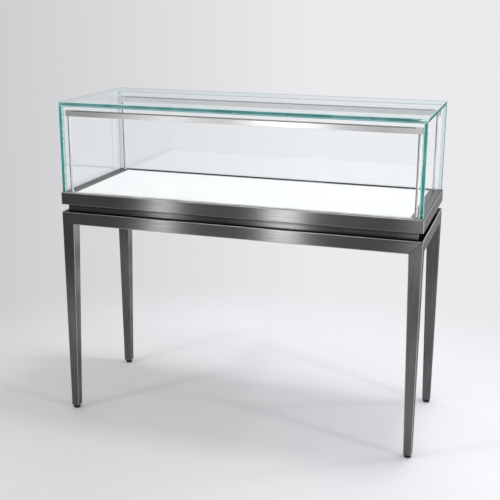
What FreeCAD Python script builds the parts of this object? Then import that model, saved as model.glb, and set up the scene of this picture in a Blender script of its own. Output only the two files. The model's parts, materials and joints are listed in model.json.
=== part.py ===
import FreeCAD, Part
import math
import os

from FreeCAD import Vector

# Glass display counter: a case on a table frame, with a deck that pulls out to the rear.
# Millimetres. X runs along the width, Y from front to rear, Z up from the floor.
# The origin is on the floor, in the middle of the plan.

# Overall sizes
WIDTH = 1000.0
DEPTH = 385.0
HEIGHT = 900.0

# Table frame: square tube rails and legs that taper on their inner faces
FOOT_RISE = 9.0
FRAME_TOP = 596.0
TUBE = 35.0
TUBE_WALL = 2.0
TUBE_EDGE = 1.0
LEG_TOE = 22.0

# Levelling feet
INSERT_HEIGHT = 25.0
GLIDE_DIAMETER = 20.0
GLIDE_HEIGHT = 6.0
GLIDE_EDGE = 1.5
STEM_DIAMETER = 8.0
STEM_REACH = 32.0
STEM_HEX = 12.0
STEM_CLEARANCE = 0.08
STOP_GAP = 0.3

# Recessed plinth
PLINTH_HEIGHT = 21.0
PLINTH_RECESS = 14.0
PLINTH_SHEET = 1.5

# Base ring of the case, folded from sheet
RING_HEIGHT = 33.0
RING_SHEET = 2.5
RING_EDGE = 1.0
SIDE_LEDGE = 36.0
FRONT_LEDGE = 25.0

# Glass hood
GLASS = 10.0
REAR_GLASS = 8.0
GLASS_INSET = 3.0
GLASS_ARRIS = 0.6
GLASS_BOND = 0.2
BEDDING = 1.0
SEAL = 1.2
SEAL_GAP = 0.3
REAR_PANE_HEADROOM = 0.8

# Pull-out deck
DECK_THICKNESS = 12.0
DECK_GAP = 1.0
DECK_EDGE = 0.5
PAN_SHEET = 2.0
FRONT_DEPTH = 14.0
FRONT_GAP = 0.5
REAR_LEDGE = 11.0
GROOVE_DEPTH = 10.0
GASKET = 1.0
POCKET_LIP = 8.0

# Telescopic runners, lying under the pan
RUNNER_WIDTH = 36.0
RUNNER_SHEET = 1.5
RUNNER_LIP = 6.0
RUNNER_GAP = 0.4
RUNNER_SPLIT = 1.0
RUNNER_INSET = 120.0
RUNNER_END = 10.0

# Cam lock in the rear of the pull-out deck
LOCK_BARREL = 12.0
LOCK_FLANGE = 15.0
LOCK_FLANGE_DEPTH = 1.5
LOCK_LENGTH = 16.0
PLUG_DIAMETER = 8.0
PLUG_CLEARANCE = 0.05
PLUG_STUB = 2.5
KEY_WIDTH = 1.2
KEY_HEIGHT = 5.0
KEY_DEPTH = 4.0
CAM_SHEET = 2.0
CAM_WIDTH = 9.0
CAM_BORE = 4.0
CAM_BITE = 8.0
CAM_SLOT_GAP = 1.0

# Light bars on posts
BAR_DROP = 24.0
BAR_HEIGHT = 15.5
BAR_DEPTH = 12.0
BAR_WALL = 1.5
BAR_EDGE = 0.6
BAR_END_GAP = 4.0
END_BLOCK = 18.0
BOARD_WIDTH = 8.0
BOARD_THICKNESS = 1.6
DIODE = 3.0
DIODE_HEIGHT = 0.8
DIODE_PITCH = 40.0
DIFFUSER = 2.0
POST_DIAMETER = 8.0
POST_BORE = 4.0
POST_SIDE_INSET = 24.0
POST_FRONT_INSET = 20.5
SPIGOT_DIAMETER = 6.0
SPIGOT_LENGTH = 5.0
STUD_LENGTH = 11.0
FERRULE_DIAMETER = 11.0
FERRULE_HEIGHT = 4.0
FERRULE_EDGE = 1.0
NUT_FLATS = 10.0
NUT_HEIGHT = 4.5
FIT = 0.1

# Wiring in the plinth
LEAD_DIAMETER = 2.4
LEAD_HOLE = 5.0
LEAD_LIFT = 0.2
LEAD_TOP_BEND = 6.0
LEAD_FOOT_BEND = 10.0
LEAD_FLOOR_BEND = 15.0
LEAD_RUN_IN = 36.0
LEAD_OVERLAP = 5.0
DRIVER_LENGTH = 180.0
DRIVER_WIDTH = 45.0
DRIVER_HEIGHT = 15.0
DRIVER_EDGE = 2.0
DRIVER_SIDE_GAP = 94.5
DRIVER_LEAD_SPACING = 15.0
INLET_BODY = 11.0
INLET_FLANGE = 16.0
INLET_FLANGE_HEIGHT = 3.0
INLET_SOCKET = 5.5
INLET_SOCKET_DEPTH = 3.5

# Screws
PLINTH_SCREW = 5.0
PLINTH_SCREW_LENGTH = 10.0
PLINTH_SCREW_INSET = 22.0
PLINTH_SCREW_ALONG = 250.0
PLINTH_SCREW_ACROSS = 90.0
RING_SCREW = 4.0
RING_SCREW_LENGTH = 6.0
RING_SCREW_SIDE_INSET = 26.0
RING_SCREW_FRONT_INSET = 20.5
RING_SCREW_ALONG = 350.0
RING_SCREW_ACROSS = 110.0
HEAD_RATIO = 1.8
HEAD_HEIGHT_RATIO = 0.6

# Levels and faces that several pieces share
HALF_WIDTH = WIDTH / 2
HALF_DEPTH = DEPTH / 2
RAIL_BOTTOM = FRAME_TOP - TUBE
RING_BOTTOM = FRAME_TOP + PLINTH_HEIGHT
RING_TOP = RING_BOTTOM + RING_HEIGHT
PLINTH_FLOOR = FRAME_TOP + PLINTH_SHEET
PLINTH_X = HALF_WIDTH - PLINTH_RECESS
PLINTH_Y = HALF_DEPTH - PLINTH_RECESS
CASE_FLOOR_BOTTOM = RING_BOTTOM - PLINTH_SHEET
DRIVER_X0 = DRIVER_SIDE_GAP + PLINTH_SHEET - PLINTH_X
DRIVER_X = DRIVER_X0 + DRIVER_LENGTH / 2
LEDGE_X = HALF_WIDTH - SIDE_LEDGE
LEDGE_Y = HALF_DEPTH - FRONT_LEDGE
GLASS_X = HALF_WIDTH - GLASS_INSET
GLASS_Y = HALF_DEPTH - GLASS_INSET
GLASS_FOOT = RING_TOP + BEDDING
TOP_PANE_BOTTOM = HEIGHT - GLASS
FRONT_FACE = HALF_DEPTH - FRONT_DEPTH
SIDE_END = FRONT_FACE - FRONT_GAP
REAR_PANE_FACE = GLASS_Y - REAR_GLASS
SIDE_PANE_END = REAR_PANE_FACE - SEAL_GAP - SEAL
DECK_X = LEDGE_X - DECK_GAP
DECK_FRONT = -LEDGE_Y + DECK_GAP
DECK_REAR = FRONT_FACE - REAR_LEDGE - FRONT_GAP
PAN_TOP = RING_TOP - DECK_THICKNESS
PAN_BOTTOM = PAN_TOP - PAN_SHEET
GROOVE_BOTTOM = RING_TOP - GROOVE_DEPTH
POCKET_TOP = GROOVE_BOTTOM - POCKET_LIP
RUNNER_HEIGHT = (PAN_BOTTOM - RING_BOTTOM - RUNNER_SPLIT) / 2
RUNNER_X = DECK_X - RUNNER_INSET
LOCK_Z = (RING_BOTTOM + GROOVE_BOTTOM) / 2
CAM_REACH = LOCK_Z - CASE_FLOOR_BOTTOM + CAM_BITE
CAM_REAR = FRONT_FACE - PAN_SHEET - PLUG_STUB
POST_X = HALF_WIDTH - POST_SIDE_INSET
POST_Y = HALF_DEPTH - POST_FRONT_INSET
BAR_TOP = HEIGHT - BAR_DROP
BAR_BOTTOM = BAR_TOP - BAR_HEIGHT
BAR_X = GLASS_X - GLASS - BAR_END_GAP
CHANNEL_X = BAR_X - END_BLOCK
BAR_INSIDE = BAR_DEPTH / 2 - BAR_WALL
BOARD_BOTTOM = BAR_TOP - BAR_WALL - BOARD_THICKNESS
LEAD_TOP = BOARD_BOTTOM - DIODE_HEIGHT - LEAD_DIAMETER / 2
LEAD_FLOOR = PLINTH_FLOOR + LEAD_LIFT + LEAD_DIAMETER / 2
ORIGIN = Vector(0, 0, 0)
X_AXIS = Vector(1, 0, 0)
Y_AXIS = Vector(0, 1, 0)
Z_AXIS = Vector(0, 0, 1)


def block(x0, x1, y0, y1, z0, z1):
    """A box between two corners."""
    return Part.makeBox(x1 - x0, y1 - y0, z1 - z0, Vector(x0, y0, z0))


def rod(x, y, z0, z1, diameter):
    """An upright cylinder."""
    return Part.makeCylinder(diameter / 2, z1 - z0, Vector(x, y, z0))


def rod_to_rear(x, z, y0, y1, diameter):
    """A cylinder lying along Y."""
    return Part.makeCylinder(diameter / 2, y1 - y0, Vector(x, y0, z), Y_AXIS)


def prism(points, along):
    """A polygon pushed along a vector."""
    return Part.Face(Part.makePolygon(points + points[:1])).extrude(along)


def hexagon(x, y, z0, z1, flats):
    """An upright hexagonal bar, sized across its flats."""
    radius = flats / math.sqrt(3)
    points = []
    for corner in range(6):
        angle = math.radians(60 * corner)
        points.append(Vector(x + radius * math.cos(angle), y + radius * math.sin(angle), z0))
    return prism(points, Vector(0, 0, z1 - z0))


def mirror_x(shape):
    """The same piece on the other side of the counter."""
    return shape.mirror(ORIGIN, X_AXIS)


def mirror_y(shape):
    """The same piece at the other end of the depth."""
    return shape.mirror(ORIGIN, Y_AXIS)


def lies_at(edge, axis, value):
    """True where both ends of an edge lie on one plane square to an axis."""
    return all(abs(getattr(v.Point, axis) - value) < 1e-6 for v in edge.Vertexes)


def rounded(shape, radius, *planes):
    """Rounds each edge that lies on all the given planes, each an axis and a value."""
    edges = []
    for edge in shape.Edges:
        if all(lies_at(edge, axis, value) for axis, value in planes):
            edges.append(edge)
    return shape.makeFillet(radius, edges)


def save(node, shape):
    """Writes one sub-part."""
    shape.exportStep("parts/" + node + ".step")


def save_corners(node, shape):
    """Writes a front left piece and its three mirrored copies."""
    save(node + "_front_left", shape)
    save(node + "_front_right", mirror_x(shape))
    save(node + "_rear_left", mirror_y(shape))
    save(node + "_rear_right", mirror_y(mirror_x(shape)))


def four_corners(shape):
    """A front left piece and its three mirrored copies as one group."""
    other = mirror_x(shape)
    return Part.makeCompound([shape, other, mirror_y(shape), mirror_y(other)])


# Screws

def screw(x, y, seat, diameter, length, up):
    """A pan head screw whose head bears on a seat, pointing up or down."""
    head = diameter * HEAD_HEIGHT_RATIO
    low, high = (seat - head, seat) if up else (seat, seat + head)
    tip_low, tip_high = (seat, seat + length) if up else (seat - length, seat)
    shank = rod(x, y, tip_low, tip_high, diameter)
    return shank.fuse(rod(x, y, low, high, diameter * HEAD_RATIO))


def plinth_screw_places():
    """Two screws into each rail."""
    x_edge = HALF_WIDTH - PLINTH_SCREW_INSET
    y_edge = HALF_DEPTH - PLINTH_SCREW_INSET
    places = []
    for x_side in (-1, 1):
        for y_side in (-1, 1):
            places.append((x_side * PLINTH_SCREW_ALONG, y_side * y_edge))
            places.append((x_side * x_edge, y_side * PLINTH_SCREW_ACROSS))
    return places


def ring_screw_places():
    """Three screws into each fixed member of the ring."""
    x_edge = HALF_WIDTH - RING_SCREW_SIDE_INSET
    y_edge = HALF_DEPTH - RING_SCREW_FRONT_INSET
    places = []
    for step in (-1, 0, 1):
        places.append((step * RING_SCREW_ALONG, -y_edge))
        places.append((-x_edge, step * RING_SCREW_ACROSS))
        places.append((x_edge, step * RING_SCREW_ACROSS))
    return places


def plinth_screw_holes():
    """Clearance for the plinth screws."""
    low = FRAME_TOP - PLINTH_SCREW_LENGTH
    return [rod(x, y, low, PLINTH_FLOOR, PLINTH_SCREW + FIT) for x, y in plinth_screw_places()]


def ring_screw_holes():
    """Clearance for the ring screws."""
    high = RING_BOTTOM + RING_SHEET
    return [rod(x, y, CASE_FLOOR_BOTTOM, high, RING_SCREW + FIT) for x, y in ring_screw_places()]


def lead_holes():
    """Holes under the two left posts, where the leads go down into the plinth."""
    holes = []
    for side in (-1, 1):
        holes.append(rod(-POST_X, side * POST_Y, CASE_FLOOR_BOTTOM, RING_BOTTOM + RING_SHEET, LEAD_HOLE))
    return holes


# Table frame

def leg_section(z, inset):
    """Outline of the front left leg at a height, with its corners clipped."""
    slope = (TUBE - LEG_TOE) / (RAIL_BOTTOM - FOOT_RISE)
    width = min(TUBE, LEG_TOE + slope * (z - FOOT_RISE))
    low, high, clip = inset, width - inset, TUBE_EDGE
    corners = [
        (low + clip, low), (high - clip, low), (high, low + clip), (high, high - clip),
        (high - clip, high), (low + clip, high), (low, high - clip), (low, low + clip),
    ]
    points = [Vector(a - HALF_WIDTH, b - HALF_DEPTH, z) for a, b in corners]
    return Part.makePolygon(points + points[:1])


def leg_loft(heights, inset):
    """The front left leg's tapered form between given heights."""
    return Part.makeLoft([leg_section(z, inset) for z in heights], True, True)


def mitre(axis_a, axis_b, swap):
    """A wedge that cuts a corner at 45 degrees in the plane of two inward distances.

    The distances a, b and c run from the corner's outer side face, front face and top face.
    The wedge takes away what lies further from face a than from face b, or the other way if swapped.
    """
    reach = 2 * TUBE
    steps = {
        "a": Vector(reach, 0, 0),
        "b": Vector(0, reach, 0),
        "c": Vector(0, 0, -reach),
    }
    corner = Vector(-HALF_WIDTH, -HALF_DEPTH, FRAME_TOP)
    far = steps[axis_b] if swap else steps[axis_a]
    third = [name for name in steps if name not in (axis_a, axis_b)][0]
    diagonal = steps[axis_a] + steps[axis_b]
    return prism([corner, corner + far, corner + diagonal], steps[third])


def at_both_ends(wedges, flip):
    """Wedges at one end of a rail and mirrored at its other end."""
    return wedges + [flip(wedge) for wedge in wedges]


def square_tube(start, along, side, up):
    """A square tube with clipped outer edges, open at both ends."""
    clip = TUBE_EDGE
    corners = [
        (clip, 0), (TUBE - clip, 0), (TUBE, clip), (TUBE, TUBE - clip),
        (TUBE - clip, TUBE), (clip, TUBE), (0, TUBE - clip), (0, clip),
    ]
    outside = prism([start + side * s + up * u for s, u in corners], along)
    near, far = TUBE_WALL, TUBE - TUBE_WALL
    bore = [(near, near), (far, near), (far, far), (near, far)]
    return outside.cut(prism([start + side * s + up * u for s, u in bore], along))


def table_frame():
    """Legs and rails, mitred three ways at each corner."""
    levels = [FOOT_RISE, RAIL_BOTTOM, FRAME_TOP]
    leg = leg_loft(levels, 0).cut(leg_loft(levels, TUBE_WALL))
    leg = leg.cut([mitre("a", "c", False), mitre("b", "c", False)])
    save_corners("leg", leg)

    low_corner = Vector(-HALF_WIDTH, -HALF_DEPTH, RAIL_BOTTOM)
    front = square_tube(low_corner, X_AXIS * WIDTH, Y_AXIS, Z_AXIS)
    front = front.cut(at_both_ends([mitre("a", "c", True), mitre("a", "b", True)], mirror_x))
    left = square_tube(low_corner, Y_AXIS * DEPTH, X_AXIS, Z_AXIS)
    left = left.cut(at_both_ends([mitre("b", "c", True), mitre("a", "b", False)], mirror_y))
    holes = plinth_screw_holes()
    save("rail_front", front.cut(holes))
    save("rail_rear", mirror_y(front).cut(holes))
    save("rail_left", left.cut(holes))
    save("rail_right", mirror_x(left).cut(holes))


def levelling_feet():
    """Threaded inserts, stems with a hexagon, and glide pads."""
    x, y = LEG_TOE / 2 - HALF_WIDTH, LEG_TOE / 2 - HALF_DEPTH
    top = FOOT_RISE + INSERT_HEIGHT
    insert = leg_loft([FOOT_RISE, top], TUBE_WALL)
    insert = insert.cut(rod(x, y, FOOT_RISE, top, STEM_DIAMETER + 2 * STEM_CLEARANCE))
    save("leg_inserts", four_corners(insert))

    stem = rod(x, y, GLIDE_HEIGHT, FOOT_RISE + STEM_REACH, STEM_DIAMETER)
    stem = stem.fuse(hexagon(x, y, GLIDE_HEIGHT, FOOT_RISE - STOP_GAP, STEM_HEX)).removeSplitter()
    save_corners("stem", stem)

    glide = rod(x, y, 0, GLIDE_HEIGHT, GLIDE_DIAMETER)
    glide = rounded(glide, GLIDE_EDGE, ("z", GLIDE_HEIGHT))
    save_corners("glide", glide)


# Plinth

def plinth():
    """A folded tray on the rails, its cover plate, and the screws of both."""
    inner_x, inner_y = PLINTH_X - PLINTH_SHEET, PLINTH_Y - PLINTH_SHEET
    tray = block(-PLINTH_X, PLINTH_X, -PLINTH_Y, PLINTH_Y, FRAME_TOP, CASE_FLOOR_BOTTOM)
    tray = tray.cut(block(-inner_x, inner_x, -inner_y, inner_y, PLINTH_FLOOR, CASE_FLOOR_BOTTOM))
    inlet_hole = rod(DRIVER_X, 0, FRAME_TOP, PLINTH_FLOOR, INLET_BODY + FIT)
    save("plinth_tray", tray.cut(plinth_screw_holes() + [inlet_hole]))

    floor = block(-PLINTH_X, PLINTH_X, -PLINTH_Y, PLINTH_Y, CASE_FLOOR_BOTTOM, RING_BOTTOM)
    half_cam = CAM_WIDTH / 2
    swing = math.sqrt(CAM_REACH**2 + half_cam**2 - (LOCK_Z - RING_BOTTOM)**2)
    slot = block(
        -half_cam - CAM_SLOT_GAP, swing + CAM_SLOT_GAP,
        CAM_REAR - CAM_SHEET - CAM_SLOT_GAP, CAM_REAR + CAM_SLOT_GAP,
        CASE_FLOOR_BOTTOM, RING_BOTTOM,
    )
    save("case_floor", floor.cut(ring_screw_holes() + lead_holes() + [slot]))

    rail_screws = []
    for x, y in plinth_screw_places():
        rail_screws.append(screw(x, y, PLINTH_FLOOR, PLINTH_SCREW, PLINTH_SCREW_LENGTH, False))
    save("plinth_screws", Part.makeCompound(rail_screws))
    ring_screws = []
    for x, y in ring_screw_places():
        ring_screws.append(screw(x, y, CASE_FLOOR_BOTTOM, RING_SCREW, RING_SCREW_LENGTH, True))
    save("ring_screws", Part.makeCompound(ring_screws))


# Base ring

def ring():
    """Front and side members of the ring, folded to a C and mitred at the front corners."""
    rise = Vector(0, 0, RING_HEIGHT)
    inside_low, inside_high = RING_BOTTOM + RING_SHEET, RING_TOP - RING_SHEET
    corner = Vector(-HALF_WIDTH, -HALF_DEPTH, RING_BOTTOM)
    inner_corner = Vector(-LEDGE_X, -LEDGE_Y, RING_BOTTOM)
    arris = prism([corner, corner + X_AXIS * RING_EDGE, corner + Y_AXIS * RING_EDGE], rise)
    post_holes = []
    for x_side in (-1, 1):
        for y_side in (-1, 1):
            place = (x_side * POST_X, y_side * POST_Y)
            post_holes.append(rod(*place, inside_high, RING_TOP, SPIGOT_DIAMETER + FIT))
    openings = ring_screw_holes() + lead_holes() + post_holes

    front = prism([corner, Vector(HALF_WIDTH, -HALF_DEPTH, RING_BOTTOM),
                   Vector(LEDGE_X, -LEDGE_Y, RING_BOTTOM), inner_corner], rise)
    front = rounded(front, RING_EDGE, ("y", -HALF_DEPTH), ("z", RING_TOP))
    front = rounded(front, RING_EDGE, ("y", -HALF_DEPTH), ("z", RING_BOTTOM))
    hollow = block(-HALF_WIDTH, HALF_WIDTH, RING_SHEET - HALF_DEPTH, -LEDGE_Y, inside_low, inside_high)
    save("ring_front", front.cut([hollow, arris, mirror_x(arris)] + openings))

    left = prism([corner, inner_corner, Vector(-LEDGE_X, SIDE_END, RING_BOTTOM),
                  Vector(-HALF_WIDTH, SIDE_END, RING_BOTTOM)], rise)
    left = rounded(left, RING_EDGE, ("x", -HALF_WIDTH), ("z", RING_TOP))
    left = rounded(left, RING_EDGE, ("x", -HALF_WIDTH), ("z", RING_BOTTOM))
    hollow = block(RING_SHEET - HALF_WIDTH, -LEDGE_X, -HALF_DEPTH, SIDE_END, inside_low, inside_high)
    left = left.cut([hollow, arris])
    save("ring_left", left.cut(openings))
    save("ring_right", mirror_x(left).cut(openings))


# Glass hood

def pane(x0, x1, y0, y1, z0, z1):
    """A glass pane with its sharp edges ground off."""
    sheet = block(x0, x1, y0, y1, z0, z1)
    return sheet.makeChamfer(GLASS_ARRIS, sheet.Edges)


def hood():
    """Fixed panes, the bedding that they stand on and the seals on their rear edges."""
    side_face = GLASS_X - GLASS
    top_edge = TOP_PANE_BOTTOM - GLASS_BOND
    save("pane_top", pane(-GLASS_X, GLASS_X, -GLASS_Y, GLASS_Y, TOP_PANE_BOTTOM, HEIGHT))
    front_end = side_face - GLASS_BOND
    save("pane_front", pane(-front_end, front_end, -GLASS_Y, GLASS - GLASS_Y, GLASS_FOOT, top_edge))
    left = pane(-GLASS_X, -side_face, -GLASS_Y, SIDE_PANE_END, GLASS_FOOT, top_edge)
    save("pane_left", left)
    save("pane_right", mirror_x(left))

    front_strip = block(-side_face, side_face, -GLASS_Y, GLASS - GLASS_Y, RING_TOP, GLASS_FOOT)
    left_strip = block(-GLASS_X, -side_face, -GLASS_Y, SIDE_END, RING_TOP, GLASS_FOOT)
    save("hood_bedding", Part.makeCompound([front_strip, left_strip, mirror_x(left_strip)]))
    seal = block(-GLASS_X, -side_face, SIDE_PANE_END, SIDE_PANE_END + SEAL, GLASS_FOOT, top_edge)
    save("rear_seals", Part.makeCompound([seal, mirror_x(seal)]))


# Pull-out deck

def pull_out_deck():
    """Deck, pan, rear front with its groove and ledge, rear pane and gasket."""
    deck = block(-DECK_X, DECK_X, DECK_FRONT, DECK_REAR, PAN_TOP, RING_TOP)
    save("deck", rounded(deck, DECK_EDGE, ("z", RING_TOP)))

    flange_low = PAN_BOTTOM - RUNNER_HEIGHT
    pan = block(-DECK_X, DECK_X, DECK_FRONT, FRONT_FACE, flange_low, PAN_TOP)
    pan = pan.cut(block(
        PAN_SHEET - DECK_X, DECK_X - PAN_SHEET, DECK_FRONT + PAN_SHEET, FRONT_FACE - PAN_SHEET,
        flange_low, PAN_BOTTOM,
    ))
    notch = block(
        RUNNER_X - RUNNER_WIDTH / 2, RUNNER_X + RUNNER_WIDTH / 2, DECK_FRONT, DECK_FRONT + PAN_SHEET,
        flange_low, PAN_BOTTOM,
    )
    barrel_hole = rod_to_rear(0, LOCK_Z, FRONT_FACE - PAN_SHEET, HALF_DEPTH, LOCK_BARREL + FIT)
    save("tray_pan", pan.cut([notch, mirror_x(notch), barrel_hole]))

    front = block(-HALF_WIDTH, HALF_WIDTH, FRONT_FACE, HALF_DEPTH, RING_BOTTOM, RING_TOP)
    front = rounded(front, RING_EDGE, ("y", HALF_DEPTH))
    ledge = block(-DECK_X, DECK_X, FRONT_FACE - REAR_LEDGE, FRONT_FACE, RING_TOP - RING_SHEET, RING_TOP)
    groove_rear = GLASS_Y + GASKET
    groove_front = REAR_PANE_FACE - GASKET
    groove = block(-GLASS_X, GLASS_X, groove_front, groove_rear, GROOVE_BOTTOM, RING_TOP)
    pocket_x = HALF_WIDTH - RING_SHEET
    pocket = block(
        -pocket_x, pocket_x, FRONT_FACE, HALF_DEPTH - RING_SHEET, RING_BOTTOM + RING_SHEET, POCKET_TOP,
    )
    counterbore = rod_to_rear(0, LOCK_Z, HALF_DEPTH - LOCK_FLANGE_DEPTH, HALF_DEPTH, LOCK_FLANGE + FIT)
    save("drawer_front", front.fuse(ledge).cut([groove, pocket, barrel_hole, counterbore]))

    gasket = block(-GLASS_X, GLASS_X, groove_front, groove_rear, GROOVE_BOTTOM, RING_TOP)
    pane_foot = GROOVE_BOTTOM + GASKET
    channel = block(-GLASS_X, GLASS_X, REAR_PANE_FACE, GLASS_Y, pane_foot, RING_TOP)
    save("rear_gasket", gasket.cut(channel))
    pane_head = TOP_PANE_BOTTOM - REAR_PANE_HEADROOM
    save("pane_rear", pane(-GLASS_X, GLASS_X, REAR_PANE_FACE, GLASS_Y, pane_foot, pane_head))


def runners():
    """Outer members on the case floor, inner members under the pan, and the middle ones between."""
    y0 = DECK_FRONT + PAN_SHEET + RUNNER_END
    y1 = FRONT_FACE - PAN_SHEET - RUNNER_END
    half = RUNNER_WIDTH / 2
    wall = half - RUNNER_SHEET
    mouth = wall - RUNNER_LIP

    def bar(half_width, z0, z1):
        return block(RUNNER_X - half_width, RUNNER_X + half_width, y0, y1, z0, z1)

    def pair(shape):
        return Part.makeCompound([mirror_x(shape), shape])

    outer_top = RING_BOTTOM + RUNNER_HEIGHT
    race_low, race_high = RING_BOTTOM + RUNNER_SHEET, outer_top - RUNNER_SHEET
    outer = bar(half, RING_BOTTOM, outer_top)
    outer = outer.cut([bar(wall, race_low, race_high), bar(mouth, race_high, outer_top)])
    save("runners_outer", pair(outer))

    inner_low = PAN_BOTTOM - RUNNER_HEIGHT
    inner_race_low, inner_race_high = inner_low + RUNNER_SHEET, PAN_BOTTOM - RUNNER_SHEET
    inner = bar(half, inner_low, PAN_BOTTOM)
    inner = inner.cut([bar(wall, inner_race_low, inner_race_high), bar(mouth, inner_low, inner_race_low)])
    save("runners_inner", pair(inner))

    foot = bar(wall - RUNNER_GAP, race_low + RUNNER_GAP, race_high - RUNNER_GAP)
    head = bar(wall - RUNNER_GAP, inner_race_low + RUNNER_GAP, inner_race_high - RUNNER_GAP)
    web = bar(mouth - RUNNER_SHEET, race_low + RUNNER_GAP, inner_race_high - RUNNER_GAP)
    save("runners_middle", pair(foot.fuse([head, web]).removeSplitter()))


def cam_lock():
    """Housing in the rear front, and a plug that turns a cam down through the case floor."""
    housing_front = HALF_DEPTH - LOCK_LENGTH
    housing = rod_to_rear(0, LOCK_Z, housing_front, HALF_DEPTH, LOCK_BARREL)
    flange = rod_to_rear(0, LOCK_Z, HALF_DEPTH - LOCK_FLANGE_DEPTH, HALF_DEPTH, LOCK_FLANGE)
    bore = rod_to_rear(0, LOCK_Z, housing_front, HALF_DEPTH, PLUG_DIAMETER + 2 * PLUG_CLEARANCE)
    save("lock_housing", housing.fuse(flange).removeSplitter().cut(bore))

    plug = rod_to_rear(0, LOCK_Z, CAM_REAR, HALF_DEPTH, PLUG_DIAMETER)
    stub = rod_to_rear(0, LOCK_Z, CAM_REAR - CAM_SHEET, CAM_REAR, CAM_BORE)
    key = block(
        -KEY_WIDTH / 2, KEY_WIDTH / 2, HALF_DEPTH - KEY_DEPTH, HALF_DEPTH,
        LOCK_Z - KEY_HEIGHT / 2, LOCK_Z + KEY_HEIGHT / 2,
    )
    save("lock_plug", plug.fuse(stub).cut(key))

    half = CAM_WIDTH / 2
    cam = block(0, CAM_REACH, CAM_REAR - CAM_SHEET, CAM_REAR, LOCK_Z - half, LOCK_Z + half)
    hub = rod_to_rear(0, LOCK_Z, CAM_REAR - CAM_SHEET, CAM_REAR, CAM_WIDTH)
    hole = rod_to_rear(0, LOCK_Z, CAM_REAR - CAM_SHEET, CAM_REAR, CAM_BORE)
    save("lock_cam", cam.fuse(hub).removeSplitter().cut(hole))


# Light bars and posts

def light_bar():
    """Pieces of the front light bar: channel, diffuser, LED board and end blocks."""
    y0, y1 = -POST_Y - BAR_DEPTH / 2, -POST_Y + BAR_DEPTH / 2
    channel = block(-CHANNEL_X, CHANNEL_X, y0, y1, BAR_BOTTOM, BAR_TOP)
    channel = rounded(channel, BAR_EDGE, ("z", BAR_TOP), ("y", y0))
    channel = rounded(channel, BAR_EDGE, ("z", BAR_TOP), ("y", y1))
    inside = (-POST_Y - BAR_INSIDE, -POST_Y + BAR_INSIDE)
    channel = channel.cut(block(-CHANNEL_X, CHANNEL_X, *inside, BAR_BOTTOM, BAR_TOP - BAR_WALL))
    diffuser = block(-CHANNEL_X, CHANNEL_X, *inside, BAR_BOTTOM, BAR_BOTTOM + DIFFUSER)

    board_top = BAR_TOP - BAR_WALL
    edge = BOARD_WIDTH / 2
    board = block(-CHANNEL_X, CHANNEL_X, -POST_Y - edge, -POST_Y + edge, BOARD_BOTTOM, board_top)
    diodes = []
    count = int(2 * (CHANNEL_X - LEAD_OVERLAP) / DIODE_PITCH)
    for index in range(count):
        x = (index - (count - 1) / 2) * DIODE_PITCH
        diodes.append(block(
            x - DIODE / 2, x + DIODE / 2, -POST_Y - DIODE / 2, -POST_Y + DIODE / 2,
            BOARD_BOTTOM - DIODE_HEIGHT, BOARD_BOTTOM,
        ))
    board = board.fuse(diodes)

    end = block(-BAR_X, -CHANNEL_X, y0, y1, BAR_BOTTOM, BAR_TOP)
    end = rounded(end, BAR_EDGE, ("z", BAR_TOP), ("y", y0))
    end = rounded(end, BAR_EDGE, ("z", BAR_TOP), ("y", y1))
    socket = rod(-POST_X, -POST_Y, BAR_BOTTOM, BAR_BOTTOM + SPIGOT_LENGTH, SPIGOT_DIAMETER + FIT)
    half_way = POST_BORE / 2
    wire_way = block(
        -POST_X - half_way, -CHANNEL_X, -POST_Y - half_way, -POST_Y + half_way,
        BAR_BOTTOM, BAR_TOP - BAR_WALL,
    )
    end = end.cut([socket, wire_way])
    return {
        "light_channel": channel,
        "light_diffuser": diffuser,
        "light_board": board,
        "light_ends": Part.makeCompound([end, mirror_x(end)]),
    }


def lights():
    """Front and rear light bars on four hollow posts."""
    for node, shape in light_bar().items():
        save(node + "_front", shape)
        save(node + "_rear", mirror_y(shape))

    x, y = -POST_X, -POST_Y
    stud_low, spigot_high = RING_TOP - STUD_LENGTH, BAR_BOTTOM + SPIGOT_LENGTH
    post = rod(x, y, RING_TOP, BAR_BOTTOM, POST_DIAMETER)
    post = post.fuse(rod(x, y, stud_low, spigot_high, SPIGOT_DIAMETER)).removeSplitter()
    save_corners("post", post.cut(rod(x, y, stud_low, spigot_high, POST_BORE)))

    ferrule = rod(x, y, RING_TOP, RING_TOP + FERRULE_HEIGHT, FERRULE_DIAMETER)
    ferrule = rounded(ferrule, FERRULE_EDGE, ("z", RING_TOP + FERRULE_HEIGHT))
    bore = rod(x, y, RING_TOP, RING_TOP + FERRULE_HEIGHT, POST_DIAMETER + FIT)
    save("post_ferrules", four_corners(ferrule.cut(bore)))

    nut_top = RING_TOP - RING_SHEET
    nut = hexagon(x, y, nut_top - NUT_HEIGHT, nut_top, NUT_FLATS)
    nut = nut.cut(rod(x, y, nut_top - NUT_HEIGHT, nut_top, SPIGOT_DIAMETER + FIT))
    save("post_nuts", four_corners(nut))


# Wiring

def bent_wire(points, radii):
    """A round wire through straight runs joined by tangent arcs."""
    edges = []
    start = points[0]
    for index, radius in enumerate(radii):
        here = points[index + 1]
        back = (points[index] - here).normalize()
        ahead = (points[index + 2] - here).normalize()
        half_angle = back.getAngle(ahead) / 2
        reach = radius / math.tan(half_angle)
        arc_start, arc_end = here + back * reach, here + ahead * reach
        centre = here + (back + ahead).normalize() * (radius / math.sin(half_angle))
        middle = centre + (here - centre).normalize() * radius
        edges.append(Part.LineSegment(start, arc_start).toShape())
        edges.append(Part.Arc(arc_start, middle, arc_end).toShape())
        start = arc_end
    edges.append(Part.LineSegment(start, points[-1]).toShape())
    path = Part.Wire(edges)
    ring_edge = Part.makeCircle(LEAD_DIAMETER / 2, points[0], points[1] - points[0])
    return path.makePipeShell([Part.Wire(ring_edge)], True, False)


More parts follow.
